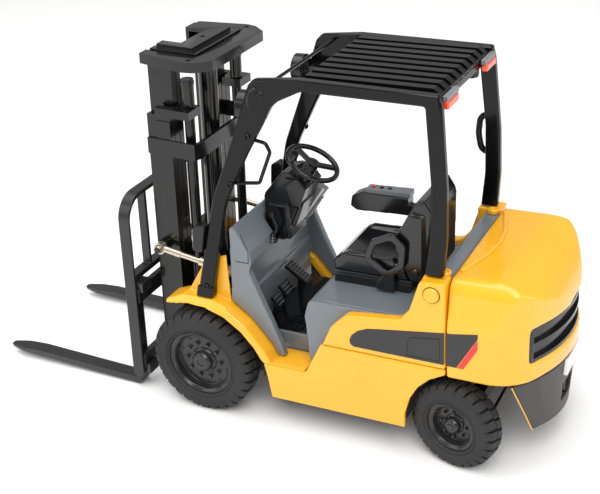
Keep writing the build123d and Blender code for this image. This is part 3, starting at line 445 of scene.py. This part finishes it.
def wheels():
    """Moulded tyres, domed hubs and the ring of studs on each rim."""
    for side, word in ((1, "left"), (-1, "right")):
        front = FRONT_AXLE + Vector((0, side * DRIVE_CENTRE_Y, 0))
        tyre("drive_tyre_" + word, "front_wheel_" + word, front, 0, DRIVE_RADIUS, DRIVE_BORE, DRIVE_WIDTH,
             DRIVE_LUGS)
        out = Vector((0, side, 0))
        hub_cap("drive_" + word, "front_wheel_" + word, front + out * 1.45, out, 3.4, 8)
        stub = STEER_TURN @ Vector((0, KINGPIN_TO_WHEEL, 0))
        rear = Vector((KINGPIN.x, side * KINGPIN.y, KINGPIN.z)) + side * stub
        tyre("steer_tyre_" + word, "rear_wheel_" + word, rear, STEER_AT_REST, STEER_RADIUS, STEER_BORE,
             STEER_WIDTH, STEER_LUGS)
        out = STEER_TURN @ Vector((0, side, 0))
        hub_cap("steer_" + word, "rear_wheel_" + word, rear + out * 0.85, out, 2.4, 6)
        for rim, spot, turn_by, circle, holes in (("drive", front, Matrix.Identity(3), 6.2, 10),
                                                  ("steer", rear, STEER_TURN, 4.2, 8)):
            body = ("front_wheel_" if rim == "drive" else "rear_wheel_") + word
            face, stud = (1.42, 0.42) if rim == "drive" else (0.82, 0.3)
            verts, faces = [], []
            for index in range(holes):
                angle = 2 * math.pi * (index + 0.5) / holes
                arm = Vector((circle * math.cos(angle), side * face, circle * math.sin(angle)))
                hub = spot + turn_by @ arm
                direction = turn_by @ Vector((0, side, 0))
                start = len(verts)
                points, sides = bar(hub - direction * 0.3, hub + direction * 0.14, stud, 12)
                verts.extend(points)
                faces.extend(tuple(start + number for number in one) for one in sides)
            new_piece(rim + "_" + word + "_studs", verts, faces, "rim_black", body, "rim_black", bevel=0.05)


wheels()

# ---- castings: CAD pieces with every edge rounded --------------------------------
# voxel in mm and rounds of smoothing
CAST = {"counterweight": (0.35, 36), "hood_side_left": (0.25, 12), "hood_side_right": (0.25, 12),
        "skirt_left": (0.25, 3), "skirt_right": (0.25, 3), "front_fender_left": (0.22, 8),
        "front_fender_right": (0.22, 8), "cowl": (0.25, 6), "seat_deck": (0.3, 7), "rear_bumper": (0.22, 3),
        "hip_restraint": (0.14, 7), "signal_lamps": (0.18, 4), "armrest_top": (0.15, 3)}
for node_name, (fineness, passes) in CAST.items():
    cast(node_name, fineness, passes)

# bevel width in mm
EDGE_WIDTHS = {
    "dash_console": 0.2, "guard_side_left": 0.45, "guard_side_right": 0.45, "guard_grille": 0.2,
    "headlamps": 0.25, "tail_lamps": 0.12, "tail_lamp_lenses": 0.3, "mast_outer": 0.18,
    "mast_middle": 0.25, "mast_inner": 0.22, "lift_cylinders": 0.2, "carriage": 0.25,
    "load_backrest": 0.35, "fork_left": 0.25, "fork_right": 0.25, "rear_grille": 0.15, "pedals": 0.2,
    "chassis": 0.3, "drive_rim_left": 0.15, "drive_rim_right": 0.15, "steer_rim_left": 0.12,
    "steer_rim_right": 0.12,
}
for node_name, edge_width in EDGE_WIDTHS.items():
    rounded(node_name, edge_width)


# ---- seat: hard moulded plastic ---------------------------------------------------
def seat():
    """Stepped base, cushion with side bolsters and a winged backrest."""
    base = [prism([(-19.2, 34.5), (-19.3, 37.8), (-38.6, 37.8), (-37.9, 34.5)], -8.4, 8.4)]
    moulded("seat_base_cast", base, "seat_black", "truck", 0.22, 8, ("seat_base",))
    lip = [(-19.3, 36.15), (-19.1, 36.6), (-19.3, 37.0), (-38.6, 37.0), (-38.6, 36.15)]
    moulded("seat_base_lip", [prism(lip, -8.6, 8.6)], "seat_black", "truck", 0.15, 4)
    cushion = [prism([(-19.8, 38.0), (-19.3, 40.2), (-21.6, 42.0), (-36.6, 41.6), (-37.6, 38.0)], -8.8, 8.8)]
    for side in (-1, 1):
        bolster = [(-21.0, 40.0), (-22.4, 42.5), (-34.0, 42.7), (-36.0, 40.0)]
        cushion.append(prism(bolster, side * 6.4, side * 8.8))
    moulded("seat_cushion_cast", cushion, "seat_black", "truck", 0.3, 14, ("seat_cushion",))
    back = [prism([(-38.0, 38.1), (-35.2, 45.6), (-35.8, 49.2), (-39.2, 56.9), (-41.7, 57.9), (-43.5, 55.0),
                   (-41.8, 38.1)], -8.0, 8.0)]
    for side in (-1, 1):
        wing = [(-38.0, 38.0), (-34.6, 45.2), (-34.9, 48.6), (-38.0, 54.4), (-41.4, 54.0), (-41.3, 38.0)]
        back.append(prism(wing, side * 5.6, side * 8.7))
    moulded("seat_backrest_cast", back, "seat_black", "truck", 0.3, 14, ("seat_backrest",))
    shell = [prism([(-42.3, 39.0), (-43.0, 52.6), (-43.4, 54.8), (-43.6, 54.0), (-43.2, 39.0)], -7.6, 7.6)]
    moulded("seat_shell", shell, "trim_black", "truck", 0.2, 3)
    nose = [(-15.5, 44.9), (-16.0, 47.2), (-18.0, 48.3), (-20.0, 48.6), (-20, 44.2), (-17, 43.9)]
    console = [cad_shell("armrest_console"), prism(nose, -13.9, -11.1)]
    slot = SLOT_OF["armrest_console"]
    moulded("armrest_console_cast", console, slot, "truck", 0.2, 6, ("armrest_console",))
    for step in range(3):
        x = -21.0 - step * 2.1
        look = "button_red" if step == 0 else "trim_black"
        turned("armrest_key_%d" % step, [(0.55, -0.3), (0.55, 0.3), (0.42, 0.45), (0.02, 0.5)],
               (x, -12.4, 49.75), (0, 0, 1), look, "truck", "trim_black", steps=20)
    turned("recliner_knob", [(1.1, -0.4), (1.1, 0.35), (0.9, 0.6), (0.02, 0.62)], (-39.3, 8.5, 40.2),
           (0, 1, 0), "seat_black", "truck", "seat_black", steps=20)


seat()


# ---- dash, levers and pedals --------------------------------------------------------
ACCELERATOR_SLOPE = math.radians(36)
PEDAL_SLOPE = math.radians(52)


def dash():
    """Column cover with its pod and dials, lever with boot and knob, console ribs and pedal ribs."""
    cover = [cad_shell("dash_column"),
             prism([(-7.6, 50.6), (-6.2, 55.4), (-9.6, 58.2), (-11.8, 55.4), (-9.8, 50.6)], -3.1, 5.9),
             prism([(-2.4, 42.0), (-2.2, 50.4), (-6.4, 50.2), (-7.0, 42.0)], -3.0, 5.8),
             prism([(-6.6, 45.0), (-9.2, 51.6), (-10.4, 51.2), (-8.0, 45.0)], -1.6, 4.6),
             bar((-7.4, 1.4, 57.2), (-11.3, 1.9, 59.4), 1.9)]
    slot = SLOT_OF["dash_column"]
    moulded("dash_column_cast", cover, slot, "truck", 0.2, 3, ("dash_column",))
    dial = [(0.9, -0.3), (0.9, 0.1), (0.75, 0.2), (0.6, 0.05), (0.02, 0.05)]
    for index, (x, z) in enumerate(((-8.9, 51.2), (-10.2, 53.3))):
        turned("dial_%d" % index, dial, (x - 0.45, 3.4 - 2.6 * index, z), (-0.85, 0, -0.35), "trim_black",
               "truck", "trim_black", steps=24)
    bent_tube("gear_lever", [(-3.2, 7.6, 42.6), (-4.6, 7.7, 45.6), (-3.8, 7.9, 48.4)], 0.4, "trim_black",
              "truck")
    boot = [(1.25, -0.2), (1.25, 0.15), (0.95, 0.5), (1.0, 0.75), (0.7, 1.1), (0.72, 1.35), (0.45, 1.8)]
    turned("gear_boot", boot, (-3.2, 7.6, 42.0), (-0.1, 0, 1), "trim_black", "truck", "trim_black", steps=24)
    turned("gear_knob", [(0.3, -0.6), (0.62, -0.3), (0.75, 0.2), (0.6, 0.65), (0.3, 0.85), (0.02, 0.9)],
           (-3.8, 7.9, 48.6), (0.1, 0, 1), "trim_black", "truck", "trim_black", steps=20)
    bent_tube("column_stalk", [(-10.6, 4.4, 57.6), (-9.4, 7.4, 58.6), (-8.6, 9.0, 59.3)], 0.32, "trim_black",
              "truck")
    for index in range(6):
        x, z = -7.6 - index * 0.62, 44.2 + index * 0.92
        moulded("console_rib_%d" % index, [bar((x, -5.4, z), (x, -2.9, z), 0.3, 10)], "console_grey",
                "truck", 0.12, 2)
    slab("console_strip", [(-12.5, 52.1), (-7.6, 44.9), (-7.2, 45.2), (-12.1, 52.4)], -2.75, -2.55, "xz",
         "plate_white", "truck", "console_grey", bevel=0.04)
    slope = Vector((math.cos(ACCELERATOR_SLOPE), 0, math.sin(ACCELERATOR_SLOPE)))
    lift = Vector((-math.sin(ACCELERATOR_SLOPE), 0, math.cos(ACCELERATOR_SLOPE))) * 0.5
    for index in range(7):
        centre = Vector((-4.7, -1.6, 29.0)) + (index - 3) * 0.86 * slope
        rib = bar(centre + lift + Vector((0, -1.35, 0)), centre + lift + Vector((0, 1.35, 0)), 0.2, 10)
        new_piece("accelerator_rib_%d" % index, *rib, "pedal_rubber", "truck", "trim_black", crease_angle=50)
    for name, y, z, wide in (("brake", 3.6, 27.2, 1.7), ("inching", 8.2, 26.2, 1.35)):
        for index in range(3):
            along = (index - 1) * 0.95
            spot = Vector((-3.8 + along * math.cos(PEDAL_SLOPE) - 0.42 * math.sin(PEDAL_SLOPE), y,
                           z + along * math.sin(PEDAL_SLOPE) + 0.42 * math.cos(PEDAL_SLOPE)))
            rib = bar(spot - Vector((0, wide, 0)), spot + Vector((0, wide, 0)), 0.16, 10)
            new_piece("%s_rib_%d" % (name, index), *rib, "pedal_rubber", "truck", "trim_black",
                      crease_angle=50)


dash()


# ---- side panels, bosses and guard fittings ---------------------------------------------
# half widths in mm: hood and counterweight faces, and the guard, which splays towards its foot
HOOD_FACE = 22.0
COUNTERWEIGHT_FACE = 22.1
GUARD_TOP = 86.4
GUARD_TOP_FACE = 18.0
GUARD_SPLAY = math.tan(math.radians(2.7))
PILLAR_FOOT = 32.4


def guard_face(z):
    """Half width of the guard at height z."""
    return GUARD_TOP_FACE + (GUARD_TOP - z) * GUARD_SPLAY


def side_details(side):
    """Blank dark panel, red corner flash, hatch line, boss with a painted shadow ring round it, and the
    guard's screws, shoe and gusset.
    """
    word = "left" if side > 0 else "right"
    hood, weight = side * HOOD_FACE, side * COUNTERWEIGHT_FACE
    upper = [(-29.8, 26.7), (-29.0, 27.2), (-28.8, 28.2), (-29.4, 29.6), (-30.9, 31.0), (-33.2, 32.0),
             (-36.3, 32.5), (-44.0, 33.6), (-51.0, 34.6)]
    slab("panel_front_" + word, upper + [(-51.0, 26.6)], hood - side * 0.2, hood + side * 0.16, "xz",
         "plate_dark", "truck", "trim_black", bevel=0.06)
    slab("panel_rear_" + word, [(-51.45, 34.6), (-58.5, 35.8), (-58.5, 34.7), (-53.8, 26.6), (-51.45, 26.6)],
         weight - side * 0.2, weight + side * 0.16, "xz", "plate_dark", "truck", "trim_black", bevel=0.06)
    slab("panel_flash_" + word, [(-58.5, 34.6), (-58.5, 32.0), (-55.4, 26.6), (-53.9, 26.6)],
         weight - side * 0.2, weight + side * 0.16, "xz", "stripe_red", "truck", "lamp_red", bevel=0.05)
    hatch = [(-42.4, 27.3), (-50.0, 27.3), (-50.0, 32.9), (-43.6, 32.0), (-42.8, 31.2), (-42.4, 27.3)]
    loop = [(x, hood + side * 0.17, z) for x, z in hatch]
    raised_line("hatch_line_" + word, loop, 0.1, "trim_black", "trim_black")
    turned("boss_" + word, [(1.75, -0.3), (1.75, 0.3), (1.55, 0.5), (0.02, 0.5)],
           (-48.2, hood, 43.2), (0, side, 0), "body_yellow", "truck", "body_yellow", steps=40)
    # a thin dark disc just wider than the boss, under it: painted shadow round the boss's edge, not a part of
    # the casting
    turned("boss_shade_ring_" + word, [(1.95, -0.2), (1.95, 0.1), (1.8, 0.12), (0.02, 0.12)],
           (-48.2, hood, 43.2), (0, side, 0), "seam_shadow", "truck", "body_yellow", steps=40)
    edge = [(-65.7, side * 20.75, 23.2), (-67.1, side * 16.8, 15.6), (-68.4, side * 12.95, 8.1)]
    bent_tube("bumper_edge_" + word, edge, 0.16, "body_yellow", "truck")
    for index, (x, z) in enumerate(((8.2, 34.1), (0.0, 60.7), (-5.1, 72.5))):
        spot = (x, side * (guard_face(z) - 0.1), z)
        screw("pillar_screw_%s_%d" % (word, index), spot, (0, side, 0.047), 0.7)
    foot = guard_face(PILLAR_FOOT)
    slab("pillar_shoe_" + word, [(11.2, 31.1), (10.6, 34.0), (6.5, 34.0), (6.9, 31.1)], side * (foot - 2.2),
         side * (foot + 0.3), "xz", "guard_black", "truck", "guard_black", bevel=0.25)
    arc = ring_points((-8.6, side * 18.12, 80.6), 3.1, (1, 0, 0), (0, 0, 1), 10, -35, 110)
    raised_line("gusset_slot_" + word, arc, 0.3, "trim_black", "guard_black")
    turned("gusset_bolt_" + word, [(0.95, -0.2), (0.95, 0.2), (0.8, 0.34), (0.02, 0.36)],
           (-8.4, side * 18.05, 82.0), (0, side, 0.05), "guard_black", "truck", "guard_black", steps=24)


for hand in (-1, 1):
    side_details(hand)


def rear_details():
    """Ridges and brackets on the hood, blank rear plate, rear grip and the alarm under the roof."""
    for hand in (-1, 1):
        ridge = [bar((-52.6, hand * 15.6, 46.5), (-55.5, hand * 6.0, 46.6), 0.55, 16),
                 bar((-55.5, hand * 6.0, 46.6), (-56.2, 0, 46.6), 0.55, 16)]
        moulded("hood_ridge_%d" % (hand + 1), ridge, "body_yellow", "truck", 0.2, 6)
        turned("hood_bracket_%d" % (hand + 1),
               [(1.3, -0.4), (1.3, 0.4), (1.1, 0.6), (0.7, 0.6), (0.55, 0.2), (0.02, 0.1)],
               (-49.5, hand * 16.6, 46.0), (0, 0, 1), "body_yellow", "truck", "body_yellow", steps=28)
    slab("rear_plate", [(5.2, 22.9), (5.2, 18.9), (-5.2, 18.9), (-5.2, 22.9)], -72.8, -73.75, "yz",
         "plate_white", "truck", "lamp_clear", bevel=0.1)
    grip = [(-47.8, -18.5, 69.0), (-46.0, -18.4, 68.5), (-45.2, -18.5, 66.0), (-45.3, -18.6, 62.6),
            (-46.2, -18.8, 60.2), (-48.2, -18.9, 59.8)]
    bent_tube("rear_grip", grip, 0.75, "guard_black", "truck")
    turned("alarm", [(1.6, -0.1), (1.6, 1.5), (1.3, 1.9), (0.9, 1.9), (0.8, 1.6), (0.02, 1.6)],
           (-46.4, -9.0, 82.9), (0, 0, -1), "trim_black", "truck", "trim_black", steps=28)


rear_details()


def cowl_details():
    """Seam lines on the cowl's cheeks and a bead along each side of the deck."""
    for hand in (-1, 1):
        face = hand * 18.52
        loop = [(-1.0, face, 48.0), (-2.6, face, 43.9), (-2.4, face, 41.0), (0.9, face, 41.0)]
        raised_line("cowl_seam_%d" % (hand + 1), loop, 0.09, "seam_grey", "cab_grey")
    for hand in (-1, 1):
        bead = [(-18.8, hand * 17.6, 34.3), (-28.0, hand * 18.2, 34.55), (-40.0, hand * 18.2, 34.55)]
        bent_tube("deck_bead_%d" % (hand + 1), bead, 0.22, "cab_grey", "truck")


cowl_details()


def mast_details():
    """Bright tilt-rod ends, rings behind the headlamps and clear fronts on the signal lamps."""
    for hand, word in ((1, "left"), (-1, "right")):
        turned("tilt_eye_" + word, [(0.95, -0.5), (0.95, 0.3), (0.8, 0.55), (0.3, 0.66), (0.02, 0.66)],
               (22.9, hand * 17.2, 39.75), (0, hand, 0), "tilt_metal", "mast_stage_one", "tilt_metal",
               steps=28)
        for index in range(3):
            rim = 2.7 - index * 0.45
            ring = [(rim, -0.2), (rim, 0.12), (2.5 - index * 0.45, 0.28), (0.02, 0.28)]
            turned("lamp_rib_%s_%d" % (word, index), ring, (-4.0 - index * 0.42, hand * 13.6, 77.7),
                   (-1, 0, 0), "guard_black", "truck", "guard_black", steps=32)
        slab("signal_front_" + word, [(10.75, 44.0), (10.4, 48.6), (9.9, 49.0), (10.25, 43.9)],
             hand * 18.7, hand * 20.9, "xz", "lamp_clear", "truck", "lamp_clear", bevel=0.12)


mast_details()

# ---- floor, light and camera ---------------------------------------------------
def studio():
    """Pale floor that curves up behind, soft lights and a pale surround. Sizes in metres."""
    sweep = [(-3, 0), (0.8, 0), (1.6, 0.05), (2.2, 0.3), (2.6, 0.9), (2.8, 2.4)]
    work = bmesh.new()
    rows = []
    for x, z in sweep:
        rows.append([work.verts.new((x, y, z)) for y in (-3, 3)])
    for low, high in zip(rows, rows[1:]):
        work.faces.new((low[0], high[0], high[1], low[1]))
    mesh = bpy.data.meshes.new("floor")
    work.to_mesh(mesh)
    work.free()
    floor = bpy.data.objects.new("floor", mesh)
    bpy.context.scene.collection.objects.link(floor)
    paper = material("floor_paper", (0.93, 0.93, 0.925), 0.6, mottle=0.01, mottle_scale=4)
    floor.data.materials.append(paper)
    for name, place, aim, size, power in (
            ("key", (-0.25, 0.45, 0.62), (0, 0, 0.04), 0.5, 4.2),
            ("fill", (-0.7, -0.15, 0.35), (0, 0, 0.04), 0.5, 1.2),
            ("top", (0.1, 0.0, 0.8), (0, 0, 0.0), 0.7, 4.2),
            ("front", (0.45, 0.35, 0.3), (0, 0, 0.04), 0.4, 1.0)):
        data = bpy.data.lights.new(name, "AREA")
        data.size = size
        data.energy = power
        lamp = bpy.data.objects.new(name, data)
        bpy.context.scene.collection.objects.link(lamp)
        lamp.location = place
        lamp.rotation_euler = (Vector(aim) - Vector(place)).to_track_quat("-Z", "Y").to_euler()
    world = bpy.data.worlds.new("surround")
    world.use_nodes = True
    world.node_tree.nodes["Background"].inputs["Color"].default_value = (1, 1, 1, 1)
    world.node_tree.nodes["Background"].inputs["Strength"].default_value = 0.42
    bpy.context.scene.world = world
    bpy.context.scene.view_settings.view_transform = "Standard"


def camera():
    """Camera at the viewing angle: behind the left side, from above."""
    azimuth, elevation, roll = math.radians(207.62), math.radians(26.526), math.radians(-3.681)
    back = Vector((math.sin(azimuth) * math.cos(elevation), -math.cos(azimuth) * math.cos(elevation),
                   math.sin(elevation)))
    aim = Vector((-6.39, 0.0, 37.11)) * MM
    distance = 279.61 * MM
    data = bpy.data.cameras.new("camera")
    data.lens = 69.21
    data.sensor_width = 36.0
    data.clip_start = 0.01
    shown = bpy.data.objects.new("camera", data)
    bpy.context.scene.collection.objects.link(shown)
    forward = -back
    right = forward.cross(Vector((0, 0, 1))).normalized()
    up = right.cross(forward)
    turned_right = math.cos(roll) * right + math.sin(roll) * up
    turned_up = -math.sin(roll) * right + math.cos(roll) * up
    turn = Matrix((turned_right, turned_up, back)).transposed().to_4x4()
    shown.matrix_world = Matrix.Translation(aim + back * distance) @ turn
    bpy.context.scene.camera = shown


studio()
camera()
